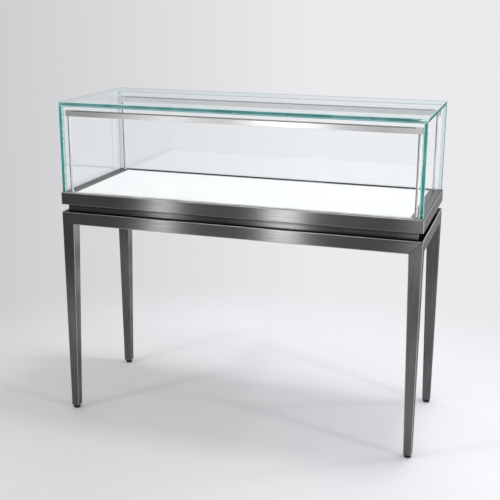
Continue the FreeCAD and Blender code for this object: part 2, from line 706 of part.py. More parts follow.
def lead(side):
    """A lead from a light bar's board, down its left post and along the plinth floor to the driver."""
    y = side * POST_Y
    run_x = LEAD_RUN_IN - POST_X
    driver_y = side * DRIVER_LEAD_SPACING / 2
    points = [
        Vector(LEAD_OVERLAP - CHANNEL_X, y, LEAD_TOP),
        Vector(-POST_X, y, LEAD_TOP),
        Vector(-POST_X, y, LEAD_FLOOR),
        Vector(run_x, y, LEAD_FLOOR),
        Vector(run_x, driver_y, LEAD_FLOOR),
        Vector(DRIVER_X0, driver_y, LEAD_FLOOR),
    ]
    return bent_wire(points, [LEAD_TOP_BEND, LEAD_FOOT_BEND, LEAD_FLOOR_BEND, LEAD_FLOOR_BEND])


def wiring():
    """Driver on the plinth floor, the inlet under it and a lead to each light bar."""
    half_width = DRIVER_WIDTH / 2
    driver_top = PLINTH_FLOOR + DRIVER_HEIGHT
    driver_x1 = DRIVER_X0 + DRIVER_LENGTH
    driver = block(DRIVER_X0, driver_x1, -half_width, half_width, PLINTH_FLOOR, driver_top)
    save("led_driver", rounded(driver, DRIVER_EDGE, ("z", driver_top)))

    inlet_low = FRAME_TOP - INLET_FLANGE_HEIGHT
    inlet = rod(DRIVER_X, 0, inlet_low, PLINTH_FLOOR, INLET_BODY)
    inlet = inlet.fuse(rod(DRIVER_X, 0, inlet_low, FRAME_TOP, INLET_FLANGE)).removeSplitter()
    socket = rod(DRIVER_X, 0, inlet_low, inlet_low + INLET_SOCKET_DEPTH, INLET_SOCKET)
    save("power_inlet", inlet.cut(socket))

    save("lead_front", lead(-1))
    save("lead_rear", lead(1))


def main():
    """Builds every sub-part."""
    os.makedirs("parts", exist_ok=True)
    table_frame()
    levelling_feet()
    plinth()
    ring()
    hood()
    pull_out_deck()
    runners()
    cam_lock()
    lights()
    wiring()


main()
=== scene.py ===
"""Looks of a glass display counter: brushed dark steel, float glass, a white deck and two light bars.

Lengths are in metres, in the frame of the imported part: X along the width, Y from front to rear, Z up.
"""

import json
import logging
import math
from collections.abc import Iterator
from contextlib import contextmanager
from dataclasses import dataclass, field
from enum import Enum, IntEnum

import bpy
from mathutils import Matrix, Vector

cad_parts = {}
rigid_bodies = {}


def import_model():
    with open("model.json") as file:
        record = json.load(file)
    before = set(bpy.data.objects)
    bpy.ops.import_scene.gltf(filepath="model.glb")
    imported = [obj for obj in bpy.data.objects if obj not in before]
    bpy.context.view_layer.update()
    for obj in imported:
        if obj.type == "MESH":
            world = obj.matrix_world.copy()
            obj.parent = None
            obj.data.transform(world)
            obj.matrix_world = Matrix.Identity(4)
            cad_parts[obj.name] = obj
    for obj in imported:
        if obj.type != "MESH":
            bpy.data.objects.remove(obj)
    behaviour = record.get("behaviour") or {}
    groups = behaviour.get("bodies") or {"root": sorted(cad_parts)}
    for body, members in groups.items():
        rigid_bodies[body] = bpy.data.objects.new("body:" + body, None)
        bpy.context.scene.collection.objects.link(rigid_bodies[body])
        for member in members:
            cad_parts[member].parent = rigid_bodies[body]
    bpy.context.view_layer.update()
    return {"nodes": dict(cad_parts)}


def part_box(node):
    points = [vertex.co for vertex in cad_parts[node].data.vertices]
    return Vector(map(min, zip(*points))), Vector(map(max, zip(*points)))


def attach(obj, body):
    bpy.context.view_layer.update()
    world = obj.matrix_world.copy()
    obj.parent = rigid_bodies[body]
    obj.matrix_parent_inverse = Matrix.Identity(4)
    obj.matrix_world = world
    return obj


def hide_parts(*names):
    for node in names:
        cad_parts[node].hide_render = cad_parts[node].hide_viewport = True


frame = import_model()

logging.basicConfig(level=logging.INFO, format="%(message)s")
log = logging.getLogger("counter")

MM = 0.001
CORNERS = ("front_left", "front_right", "rear_left", "rear_right")
# The far corner of the glass, and the level that it comes down to.
HOOD_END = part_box("pane_top")[1]
DECK_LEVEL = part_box("deck")[1].z
FLOOR = "studio_floor"
# How much of a face's normal lies along an axis that it faces squarely, nearly, halfway or at a slant.
SQUARE = 0.99
FACING = 0.9
HALFWAY = 0.5
SLANTED = 0.3
# The edges of a mitre slant on all three axes. They are welded and ground flush, so they get no painted
# highlight.
MITRE_SLANT = 0.1
# Edges sharper than this are eased, and rounded surfaces are shaded smooth up to the other two.
SHARP_ANGLE = math.radians(30)
TURNED_ANGLE = math.radians(35)
EASED_ANGLE = math.radians(50)
# Triangles of one plane differ by less than this.
FLAT_ANGLE = math.radians(0.5)
# Nearly all values of a noise texture lie in this range.
NOISE_RANGE = {"From Min": 0.3, "From Max": 0.7}
# Points of a CAD mesh closer than this are one point.
WELD = 0.002 * MM


def linear(colour: str) -> tuple[float, float, float, float]:
    """Turns an sRGB hex colour into linear light.

    Args:
        colour: A colour such as "#4b4c4f".

    Returns:
        Red, green, blue and an alpha of 1.
    """
    shares = [int(colour[at:at + 2], 16) / 255 for at in (1, 3, 5)]
    red, green, blue = (s / 12.92 if s <= 0.04045 else ((s + 0.055) / 1.055) ** 2.4 for s in shares)
    return red, green, blue, 1.0


def add_node(
    tree: bpy.types.NodeTree,
    kind: str,
    sockets: dict[int | str, object] | None = None,
    **settings: object,
) -> bpy.types.Node:
    """Adds one node to a tree.

    Args:
        tree: The material's or world's node tree.
        kind: Blender's name for the type of node, without "ShaderNode".
        sockets: What each input gets: a value, or another node's output.
        settings: Properties of the node itself.

    Returns:
        The new node.
    """
    node = tree.nodes.new("ShaderNode" + kind)
    for name, value in settings.items():
        setattr(node, name, value)
    for key, value in (sockets or {}).items():
        if isinstance(value, bpy.types.NodeSocket):
            tree.links.new(value, node.inputs[key])
        else:
            node.inputs[key].default_value = value
    return node


class Axis(IntEnum):
    """An axis of the frame, as its place in a vector."""

    X = 0
    Y = 1
    Z = 2


class EasedSlot(IntEnum):
    """The finishes of an eased piece, in the order of its material slots."""

    FACE = 0
    EDGE = 1


class PaneSlot(IntEnum):
    """The finishes of a pane, in the order of its material slots."""

    FACE = 0
    EDGE = 1
    BONDED = 2
    ARRIS = 3
    DULL_ARRIS = 4
    GROUND = 5


class BarSlot(IntEnum):
    """The finishes of a light bar, in the order of its material slots."""

    FACE = 0
    SEAM = 1
    BACK = 2


class Grain(Enum):
    """The way that a piece was brushed, drawn or sawn, as the axis of its long scratches."""

    ALONG_X = (1, 0, 0)
    ALONG_Y = (0, 1, 0)
    ALONG_Z = (0, 0, 1)

    def scale(self, length: float, width: float) -> Vector:
        """How often a streak of that length and width repeats per metre on each axis."""
        return Vector(1 / length if along else 1 / width for along in self.value)

    def across(self) -> Vector:
        """A direction across the grain on every face that holds the grain."""
        return Vector(0 if along else 1 for along in self.value)


@dataclass(frozen=True)
class Finish:
    """One real finish, made into a material the first time that a piece asks for it."""

    name: str

    def material(self) -> bpy.types.Material:
        """The finish as a Blender material.

        Returns:
            The material of this finish's name, made if it isn't there yet.
        """
        made = bpy.data.materials.get(self.name)
        if made is None:
            made = bpy.data.materials.new(self.name)
            made.use_nodes = True
            made.node_tree.nodes.clear()
            add_node(made.node_tree, "OutputMaterial", {"Surface": self.surface(made.node_tree)})
        return made

    def surface(self, tree: bpy.types.NodeTree) -> bpy.types.NodeSocket:
        """Builds the shader and returns its output."""
        raise NotImplementedError


@dataclass(frozen=True)
class BrushedMetal(Finish):
    """Metal brushed or drawn along its length, so that lights smear into bands across the grain.

    A belt leaves scratches of about 0.1 mm, drawn here as wide as streak_width so that they show.
    """

    grain: Grain
    valley: str
    crest: str
    grazing: str
    roughness: float
    anisotropy: float
    metallic: float = 1.0
    streak_length: float = 180 * MM
    streak_width: float = 1.6 * MM
    cloud_size: float = 90 * MM
    gloss_swing: float = 0.02
    scratch_depth: float = 0.1 * MM
    scratch_strength: float = 0.04

    def surface(self, tree: bpy.types.NodeTree) -> bpy.types.NodeSocket:
        """Long streaks vary the tone, the gloss and the height, and slow clouds the tone.

        Args:
            tree: The material's node tree.

        Returns:
            The shader's output.
        """
        place = add_node(tree, "TexCoord").outputs["Object"]
        laid = add_node(tree, "Mapping", {
            "Vector": place, "Scale": self.grain.scale(self.streak_length, self.streak_width),
        })
        streaks = add_node(tree, "TexNoise", {
            "Vector": laid.outputs[0], "Scale": 1.0, "Detail": 3.0, "Roughness": 0.65,
        })
        clouds = add_node(tree, "TexNoise", {"Vector": place, "Scale": 1 / self.cloud_size, "Detail": 1.0})
        tone = add_node(tree, "Math", {
            0: streaks.outputs["Fac"], 1: clouds.outputs["Fac"],
        }, operation="MULTIPLY")
        spread = add_node(tree, "MapRange", {"Value": tone.outputs[0], "From Min": 0.1, "From Max": 0.42})
        colour = add_node(tree, "Mix", {
            0: spread.outputs[0], 6: linear(self.valley), 7: linear(self.crest),
        }, data_type="RGBA")
        gloss = add_node(tree, "MapRange", {
            "Value": streaks.outputs["Fac"], **NOISE_RANGE,
            "To Min": self.roughness + self.gloss_swing, "To Max": self.roughness - self.gloss_swing,
        })
        scratches = add_node(tree, "Bump", {
            "Height": streaks.outputs["Fac"], "Strength": self.scratch_strength,
            "Distance": self.scratch_depth,
        })
        across = add_node(tree, "VectorTransform", {0: self.grain.across()}, vector_type="VECTOR")
        shader = add_node(tree, "BsdfPrincipled", {
            "Base Color": self.with_painted_shade(tree, place, colour.outputs[2]), "Metallic": self.metallic,
            "Roughness": gloss.outputs[0], "Specular Tint": linear(self.grazing),
            "Anisotropic": self.anisotropy, "Tangent": across.outputs[0], "Normal": scratches.outputs[0],
        })
        return shader.outputs[0]

    def with_painted_shade(
        self, tree: bpy.types.NodeTree, place: bpy.types.NodeSocket, colour: bpy.types.NodeSocket,
    ) -> bpy.types.NodeSocket:
        """The colour with any painted shade, and an open face has none."""
        return colour


@dataclass(frozen=True)
class OverhangShadedMetal(BrushedMetal):
    """Metal under an overhang, with painted shade darkening its uppermost strip."""

    top: float = 0.0
    strip: float = 9 * MM
    deepest_shade: float = 0.28

    def with_painted_shade(
        self, tree: bpy.types.NodeTree, place: bpy.types.NodeSocket, colour: bpy.types.NodeSocket,
    ) -> bpy.types.NodeSocket:
        """Paints shade on the colour, darker from the strip's lower side up to the overhang.

        Args:
            tree: The material's node tree.
            place: Object coordinates.
            colour: The brushed colour.

        Returns:
            The colour to use.
        """
        height = add_node(tree, "SeparateXYZ", {0: place}).outputs["Z"]
        share = add_node(tree, "MapRange", {
            "Value": height, "From Min": self.top - self.strip, "From Max": self.top,
            "To Min": 1.0, "To Max": self.deepest_shade,
        })
        toned = add_node(tree, "Mix", {
            0: 1.0, 6: colour, 7: share.outputs[0],
        }, data_type="RGBA", blend_type="MULTIPLY")
        return toned.outputs[2]


@dataclass(frozen=True)
class FloatGlass(Finish):
    """Clear float glass: light passes with a breath of green, and a flat look shows more of a mirror.

    The mirror's share stops at a limit, so that a pane seen nearly edge on still shows what is behind it.
    A lift above 1 gives back what the mirror takes from the light that passes.
    """

    tint: str
    head_on: float
    limit: float = 0.16
    lift: float = 1.0
    climb: float = 5.0

    def surface(self, tree: bpy.types.NodeTree) -> bpy.types.NodeSocket:
        """A clear sheet with a mirror whose share climbs with a power of the tilt, up to its limit.

        Args:
            tree: The material's node tree.

        Returns:
            The shader's output.
        """
        facing = add_node(tree, "LayerWeight", {"Blend": 0.5}).outputs["Facing"]
        steep = add_node(tree, "Math", {0: facing, 1: self.climb}, operation="POWER")
        share = add_node(tree, "MapRange", {
            "Value": steep.outputs[0], "From Max": (self.limit - self.head_on) / (1 - self.head_on),
            "To Min": self.head_on, "To Max": self.limit,
        })
        red, green, blue, solid = linear(self.tint)
        passed = (red * self.lift, green * self.lift, blue * self.lift, solid)
        clear = add_node(tree, "BsdfTransparent", {"Color": passed})
        mirror = add_node(tree, "BsdfGlossy", {"Roughness": 0.0})
        both = add_node(tree, "MixShader", {0: share.outputs[0], 1: clear.outputs[0], 2: mirror.outputs[0]})
        return both.outputs[0]


@dataclass(frozen=True)
class GlassEdge(Finish):
    """Edge of float glass, where the eye looks down the whole pane: green, broken by painted reflections.
    """

    deep: str
    body: str
    sliver: str
    sliver_share: float
    busy_from: Vector
    busy_to: Vector
    sliver_size: Vector
    drift: float = 70 * MM
    roughness: float = 0.2
    within: float = 0.0
    calm: float = 0.68
    busiest: float = 0.5
    pull: float = 0.3
    glint_ramp: float = 0.05
    seen_through: str = "#f4fbfa"

    def surface(self, tree: bpy.types.NodeTree) -> bpy.types.NodeSocket:
        """The green drifts along the edge, and short painted reflections break it, most of all in its busy
        end.

        From inside the pane the edge is clear, apart from the share that within gives.

        Args:
            tree: The material's node tree.

        Returns:
            The shader's output.
        """
        place = add_node(tree, "TexCoord").outputs["Object"]
        spread = add_node(tree, "VectorMath", {0: place}, operation="ABSOLUTE")
        near = add_node(tree, "MapRange", {
            "Vector": spread.outputs[0], 7: self.busy_from, 8: self.busy_to,
        }, data_type="FLOAT_VECTOR")
        axes = add_node(tree, "SeparateXYZ", {0: near.outputs["Vector"]})
        corner = add_node(tree, "Math", {0: axes.outputs["X"], 1: axes.outputs["Y"]}, operation="MULTIPLY")
        corner = add_node(tree, "Math", {0: corner.outputs[0], 1: axes.outputs["Z"]}, operation="MULTIPLY")
        busy = add_node(tree, "MapRange", {
            "Value": corner.outputs[0], "To Min": self.calm - self.pull * self.sliver_share,
            "To Max": self.busiest,
        })
        drift = add_node(tree, "TexNoise", {"Vector": place, "Scale": 1 / self.drift, "Detail": 2.0})
        level = add_node(tree, "MapRange", {
            "Value": drift.outputs["Fac"], "From Min": 0.35, "From Max": 0.65,
        })
        body = add_node(tree, "Mix", {
            0: level.outputs[0], 6: linear(self.deep), 7: linear(self.body),
        }, data_type="RGBA")
        laid = add_node(tree, "VectorMath", {0: place, 1: self.sliver_size}, operation="DIVIDE")
        chips = add_node(tree, "TexNoise", {"Vector": laid.outputs[0], "Scale": 1.0, "Detail": 3.0})
        over = add_node(tree, "Math", {0: chips.outputs["Fac"], 1: busy.outputs[0]}, operation="SUBTRACT")
        glint = add_node(tree, "MapRange", {"Value": over.outputs[0], "From Max": self.glint_ramp})
        colour = add_node(tree, "Mix", {
            0: glint.outputs[0], 6: body.outputs[2], 7: linear(self.sliver),
        }, data_type="RGBA")
        shader = add_node(tree, "BsdfPrincipled", {
            "Base Color": colour.outputs[2], "Roughness": self.roughness, "IOR": 1.52,
            "Specular IOR Level": 0.0,
        })
        within = add_node(tree, "NewGeometry").outputs["Backfacing"]
        open_share = add_node(tree, "Math", {0: within, 1: 1 - self.within}, operation="MULTIPLY")
        clear = add_node(tree, "BsdfTransparent", {"Color": linear(self.seen_through)})
        both = add_node(tree, "MixShader", {
            0: open_share.outputs[0], 1: shader.outputs[0], 2: clear.outputs[0],
        })
        return both.outputs[0]


@dataclass(frozen=True)
class Mottled(Finish):
    """A plain finish whose tone and gloss wander a little and whose skin has a fine texture."""

    first: str
    second: str
    patch: float
    roughness: float
    texture: float
    relief: float
    metallic: float = 0.0
    clear: float = 0.0
    solid: float = 1.0
    glow: float = 0.0
    glow_colour: str = "#ffffff"
    gloss_swing: float = 0.1
    relief_strength: float = 0.3

    def surface(self, tree: bpy.types.NodeTree) -> bpy.types.NodeSocket:
        """Patches mix the two tones and the gloss, and a finer noise gives the skin its relief.

        Args:
            tree: The material's node tree.

        Returns:
            The shader's output.
        """
        place = add_node(tree, "TexCoord").outputs["Object"]
        patches = add_node(tree, "TexNoise", {"Vector": place, "Scale": 1 / self.patch, "Detail": 3.0})
        mixed = add_node(tree, "MapRange", {"Value": patches.outputs["Fac"], **NOISE_RANGE})
        colour = add_node(tree, "Mix", {
            0: mixed.outputs[0], 6: linear(self.first), 7: linear(self.second),
        }, data_type="RGBA")
        gloss = add_node(tree, "MapRange", {
            "Value": patches.outputs["Fac"], **NOISE_RANGE,
            "To Min": self.roughness * (1 - self.gloss_swing),
            "To Max": self.roughness * (1 + self.gloss_swing),
        })
        grit = add_node(tree, "TexNoise", {"Vector": place, "Scale": 1 / self.texture, "Detail": 2.0})
        skin = add_node(tree, "Bump", {
            "Height": grit.outputs["Fac"], "Strength": self.relief_strength, "Distance": self.relief,
        })
        shader = add_node(tree, "BsdfPrincipled", {
            "Base Color": colour.outputs[2], "Metallic": self.metallic, "Roughness": gloss.outputs[0],
            "Transmission Weight": self.clear, "Alpha": self.solid, "Normal": skin.outputs[0],
            "Emission Color": linear(self.glow_colour), "Emission Strength": self.glow,
        })
        return shader.outputs[0]


# The belt that brushes sheet and tube leaves streaks, drawn this wide.
DARK_STREAK = 2.6 * MM


def dark_steel(grain: Grain) -> BrushedMetal:
    """Stainless steel brushed and tinted dark, in sheet and tube, with hardly a cloud in its tint.

    Args:
        grain: The way that it was brushed.

    Returns:
        The finish, the same one for the same grain.
    """
    return BrushedMetal(
        f"brushed_dark_steel_{grain.name.lower()}", grain, "#555454", "#747373", "#a8a8a8", 0.22, 1.0,
        streak_width=DARK_STREAK, cloud_size=300 * MM,
    )


def black_steel(grain: Grain) -> BrushedMetal:
    """The steel tinted nearly black: the case floor's own, and painted shade on the rails' tops under the
    case.

    Args:
        grain: The way that it was brushed.

    Returns:
        The finish, the same one for the same grain.
    """
    return BrushedMetal(
        f"brushed_black_steel_{grain.name.lower()}", grain, "#474747", "#595858", "#a4a4a4", 0.2, 1.0,
    )


# The face of a leg turned to the other end of the counter is painted lighter, a painted reflection of the
# floor.
INNER_FACE_HIGHLIGHT = BrushedMetal(
    "brushed_dark_steel_plate", Grain.ALONG_Z, "#706f6f", "#929191", "#a8a8a8", 0.22, 1.0,
    streak_width=DARK_STREAK,
)
# The plinth is the same black steel, with painted shade under the ring's overhang.
PLINTH_STEEL = OverhangShadedMetal(
    "brushed_black_steel_plinth", Grain.ALONG_X, "#4e4e4e", "#636262", "#a4a4a4", 0.2, 1.0,
    top=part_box("plinth_tray")[1].z,
)
# The ring's front ledge is painted near white, a painted highlight, and noise streaks it light and dark.
FRONT_LEDGE_HIGHLIGHT = BrushedMetal(
    "brushed_plain_steel_front", Grain.ALONG_X, "#b8b8b8", "#f4f4f4", "#eeeeee", 0.3, 0.9, 0.2,
    streak_length=60 * MM, streak_width=7 * MM, cloud_size=40 * MM,
)
# The side ledges are painted lighter than the ring's faces, a painted highlight.
SIDE_LEDGE_HIGHLIGHT = BrushedMetal(
    "brushed_plain_steel_side", Grain.ALONG_Y, "#7d7e7e", "#8f8f8f", "#c8c8c8", 0.3, 0.9,
)
# The eased edges are painted bright steel, a painted highlight that shows as a thin line.
EDGE_HIGHLIGHT_STEEL = Mottled("rubbed_steel_edge", "#9f9f9f", "#b2b2b1", 60 * MM, 0.3, 8 * MM, 0.02 * MM, 1.0)
# Anodised aluminium keeps the fine lines of its extrusion and a bright satin face.
SATIN_ALUMINIUM = BrushedMetal(
    "satin_anodised_aluminium", Grain.ALONG_X, "#c6c5c4", "#d1d0cf", "#d4d4d4", 0.34, 0.9, 0.85,
    streak_length=400 * MM, streak_width=1.2 * MM,
)
# The seam between extrusion and cover is painted dark as its shade.
SEAM = Mottled("shaded_cover_seam", "#444547", "#505153", 20 * MM, 0.5, 1 * MM, 0.02 * MM, 0.5)
# The top of the extrusion is painted a darker grey, as painted shade.
SHADED_TOP_ALUMINIUM = BrushedMetal(
    "satin_grey_aluminium", Grain.ALONG_X, "#808181", "#8c8d8d", "#c4c4c4", 0.4, 0.8, 0.8,
)
# Polished stainless rod mirrors the studio, light on one side and dark on the other.
POLISHED_STEEL = Mottled(
    "polished_stainless_rod", "#cfd0d1", "#dcdcdc", 30 * MM, 0.09, 2 * MM, 0.01 * MM, 1.0,
)
# Nickel plate on a die-cast lock, blasted before plating, is grey and soft.
SATIN_NICKEL = Mottled("satin_nickel_plate", "#8d8f91", "#a2a4a5", 8 * MM, 0.27, 0.8 * MM, 0.01 * MM, 1.0)
# Black nickel on the screw feet is dark, and glints where it catches a lamp.
BLACK_NICKEL = Mottled("polished_black_nickel", "#3a3b3d", "#47484a", 6 * MM, 0.16, 1 * MM, 0.01 * MM, 1.0)
# Zinc plate with a blue passivate: grey, cloudy and half dull.
ZINC_PLATE = Mottled("zinc_plated_steel", "#9ba0a6", "#b9bcbf", 6 * MM, 0.36, 1.2 * MM, 0.03 * MM, 1.0)
# White laminate on board: soft sheen, very slight orange peel.
WHITE_LAMINATE = Mottled("white_laminate_board", "#f7f7f7", "#fbfbfb", 60 * MM, 0.42, 2.2 * MM, 0.02 * MM)
# Opal acrylic hides the diodes behind it and glows evenly.
OPAL_ACRYLIC = Mottled(
    "opal_acrylic", "#f3f1ec", "#f8f6f2", 40 * MM, 0.4, 2 * MM, 0.01 * MM, glow=2.2, glow_colour="#fff6ea",
)
# Circuit board under white solder mask.
WHITE_BOARD = Mottled("white_masked_circuit_board", "#e9e7df", "#f4f2ea", 8 * MM, 0.35, 1 * MM, 0.02 * MM)
# Clear silicone, cloudy at its cut edges.
SILICONE = Mottled(
    "clear_silicone", "#e4eceb", "#f0f5f5", 20 * MM, 0.35, 2 * MM, 0.02 * MM, clear=0.4, solid=0.16,
)
# Nylon moulded in a spark-eroded tool: near black, fine dull grain.
MOULDED_NYLON = Mottled("moulded_black_nylon", "#151617", "#1f2022", 10 * MM, 0.3, 0.6 * MM, 0.05 * MM)
# Synthetic rubber of a foot's pad.
RUBBER = Mottled("grey_rubber", "#2b2c2d", "#37383a", 5 * MM, 0.7, 0.8 * MM, 0.05 * MM)
# Soft vinyl jacket of a lead.
VINYL = Mottled("white_vinyl_jacket", "#d9d9d6", "#e4e4e1", 25 * MM, 0.45, 1.5 * MM, 0.02 * MM)
# Plain float glass mirrors the deck faintly, and its iron leaves a breath of green.
CLEAR_FACE = FloatGlass("float_glass_face", "#fcfefe", 0.05)
# The panes behind the deck stand against the light ground, so their faint mirror of the deck shows most.
BACK_FACE = FloatGlass("float_glass_back_face", "#fcfefe", 0.08, lift=1.08)
# A coating that takes off most of the mirror keeps the front and right panes clear.
COATED_FACE = FloatGlass("coated_float_glass_face", "#fefefe", 0.012, 0.06)
# A corner of the hood is where both its width and its depth end, at any height above the first 100 mm.
HOOD_CORNER = (
    Vector((HOOD_END.x - 67 * MM, HOOD_END.y - 39.5 * MM, 0.0)),
    Vector((HOOD_END.x + 3 * MM, HOOD_END.y + 0.5 * MM, 100 * MM)),
)
# The foot of an upright edge is where the glass comes down to the steel, anywhere but near the middle.
HOOD_FOOT = (
    Vector((100 * MM, 50 * MM, DECK_LEVEL + 80 * MM)),
    Vector((200 * MM, 100 * MM, DECK_LEVEL)),
)
# Painted reflections on the top edge are long flat slivers, and beads on an upright edge.
FLAT_SLIVER = Vector((36, 9, 5)) * MM
BEAD = Vector((5, 5, 7)) * MM
# An open edge, ground and polished, is deep green.
POLISHED_EDGE = GlassEdge(
    "float_glass_polished_edge", "#47837e", "#689e99", "#dff8f5", 0.14, *HOOD_CORNER, FLAT_SLIVER,
)
# Upright edges are as green, with dark beads painted where they come down to the steel, a painted
# reflection of it.
UPRIGHT_EDGE = GlassEdge(
    "float_glass_upright_edge", "#3b8a84", "#62aaa6", "#17504c", 0.0, *HOOD_FOOT, BEAD,
)
# A bonded edge has no air behind it, so it is pale.
BONDED_EDGE = GlassEdge(
    "float_glass_bonded_edge", "#a6d3ce", "#c2e5e1", "#eefaf8", 0.1, *HOOD_FOOT, BEAD, within=0.6,
)
# The arris, a narrow ground chamfer, scatters a pale line.
GROUND_ARRIS = GlassEdge(
    "float_glass_ground_arris", "#a9d9d3", "#c9ece8", "#f4fffd", 0.2, *HOOD_CORNER, BEAD, within=0.2,
)
# An edge that is ground but not polished is pale grey.
GROUND_EDGE = GlassEdge(
    "float_glass_ground_edge", "#c2d2d3", "#ced9da", "#e3ecec", 0.1, *HOOD_FOOT, BEAD, within=0.6,
)
# Where nothing bright lies beyond it, the arris is a thin grey line.
DULL_ARRIS = GlassEdge(
    "float_glass_dull_arris", "#7f9b99", "#93adaa", "#b9cfcc", 0.1, *HOOD_CORNER, BEAD, within=0.6,
)


@contextmanager
def editing(piece: bpy.types.Object) -> Iterator[None]:
    """Edit mode on one piece alone, with all of it selected.

    Args:
        piece: The mesh object to shape.

    Returns:
        A context that ends back in object mode.
    """
    bpy.ops.object.select_all(action="DESELECT")
    piece.select_set(True)
    bpy.context.view_layer.objects.active = piece
    bpy.ops.object.mode_set(mode="EDIT")
    bpy.ops.mesh.select_all(action="SELECT")
    yield
    bpy.ops.object.mode_set(mode="OBJECT")


def apply_modifier(piece: bpy.types.Object, kind: str, **settings: object) -> None:
    """Puts one modifier on a piece and applies it at once.

    Args:
        piece: The active mesh object.
        kind: Blender's name for the modifier.
        settings: The modifier's properties.
    """
    modifier = piece.modifiers.new(kind.lower(), kind)
    for name, value in settings.items():
        setattr(modifier, name, value)
    bpy.ops.object.modifier_apply(modifier=modifier.name)


def block(name: str, low: Vector, high: Vector) -> bpy.types.Object:
    """A cuboid between two corners, to be shaped further.

    Args:
        name: The piece's name.
        low: Its lowest corner.
        high: Its highest corner.

    Returns:
        The piece, with its place in its mesh.
    """
    bpy.ops.object.select_all(action="DESELECT")
    bpy.ops.mesh.primitive_cube_add(size=1.0, location=(low + high) / 2, scale=high - low)
    piece = bpy.context.active_object
    piece.name = name
    bpy.ops.object.transform_apply(location=True, rotation=True, scale=True)
    return piece


def turned(name: str, centre: Vector, profile: list[tuple[float, float]], sides: int) -> bpy.types.Object:
    """A piece turned on an upright axis, extruded and scaled step by step up its profile.

    Args:
        name: The piece's name.
        centre: A point on the axis.
        profile: Radius and height of each step, from the bottom up.
        sides: How many sides its circle has.

    Returns:
        The closed piece, with its place in its mesh.
    """
    (radius, height), *steps = profile
    bpy.ops.object.select_all(action="DESELECT")
    bpy.ops.mesh.primitive_circle_add(
        vertices=sides, radius=radius, fill_type="NGON", location=(centre.x, centre.y, height),
    )
    piece = bpy.context.active_object
    piece.name = name
    bpy.ops.object.transform_apply(location=True)
    with editing(piece):
        for next_radius, next_height in steps:
            rise = (0, 0, next_height - height)
            bpy.ops.mesh.extrude_region_move(TRANSFORM_OT_translate={"value": rise})
            share = next_radius / radius
            middle = (centre.x, centre.y, next_height)
            bpy.ops.transform.resize(value=(share, share, 1), center_override=middle)
            radius, height = next_radius, next_height
        bpy.ops.mesh.select_all(action="SELECT")
        bpy.ops.mesh.normals_make_consistent(inside=False)
    bpy.ops.object.shade_smooth_by_angle(angle=TURNED_ANGLE)
    return piece


def eased(node: str, width: float, *finishes: Finish) -> bpy.types.Object:
    """A copy of a CAD node with every sharp edge rounded as a deburred edge is.

    Args:
        node: The node's name.
        width: How wide the rounding is.
        finishes: The finish of its faces, and last that of its edges where they differ.

    Returns:
        The copy, which stands for the node.
    """
    piece = bpy.data.objects.new(f"{node}_eased", frame["nodes"][node].data.copy())
    bpy.context.scene.collection.objects.link(piece)
    with editing(piece):
        bpy.ops.mesh.customdata_custom_splitnormals_clear()
        bpy.ops.mesh.remove_doubles(threshold=WELD)
        bpy.ops.mesh.dissolve_limited(angle_limit=FLAT_ANGLE)
    paint(piece, *finishes)
    bpy.ops.object.shade_smooth_by_angle(angle=SHARP_ANGLE)
    apply_modifier(
        piece, "BEVEL", width=width, segments=2, angle_limit=SHARP_ANGLE, use_clamp_overlap=False,
        material=len(finishes) - 1,
    )
    bpy.ops.object.shade_smooth_by_angle(angle=EASED_ANGLE)
    apply_modifier(piece, "WEIGHTED_NORMAL", keep_sharp=True)
    for face in piece.data.polygons:
        if min(abs(part) for part in face.normal) > MITRE_SLANT:
            face.material_index = EasedSlot.FACE
    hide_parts(node)
    return piece


def paint(piece: bpy.types.Object, *finishes: Finish) -> None:
    """Gives a piece or a CAD node these finishes as its materials.

    Args:
        piece: The mesh object.
        finishes: One finish for each material slot, in order.
    """
    piece.data.materials.clear()
    for finish in finishes:
        piece.data.materials.append(finish.material())


def seat(piece: bpy.types.Object, body: str) -> None:
    """Rides a finished piece on its body and reports it.

    Args:
        piece: The finished piece.
        body: The CAD body that it moves with.
    """
    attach(piece, body)
    log.info("%s rides on %s, %d faces", piece.name, body, len(piece.data.polygons))


def paint_top(piece: bpy.types.Object, finish: Finish, depth: float) -> None:
    """Gives the top faces of a piece a further finish of their own.

    Args:
        piece: A mesh that has its other finishes already.
        finish: The finish of its top.
        depth: How far below its highest point a face still counts as its top.
    """
    piece.data.materials.append(finish.material())
    top = max(corner[Axis.Z] for corner in piece.bound_box)
    for face in piece.data.polygons:
        if face.normal.z > SQUARE and face.center.z > top - depth:
            face.material_index = len(piece.data.materials) - 1


def highlight_folds(piece: bpy.types.Object) -> None:
    """Gives the rounded folds of a sheet the painted highlight of its edges.

    Args:
        piece: A mesh whose faces otherwise lie square to the axes.
    """
    for face in piece.data.polygons:
        least, middle, _ = sorted(abs(part) for part in face.normal)
        if least < MITRE_SLANT < middle:
            face.material_index = EasedSlot.EDGE


def paint_nodes(finish: Finish, *nodes: str) -> None:
    """Gives CAD nodes that keep their own shape a finish.

    Args:
        finish: The finish.
        nodes: Names of CAD nodes.
    """
    for node in nodes:
        paint(frame["nodes"][node], finish)
        log.info("%s keeps its shape, in %s", node, finish.name)


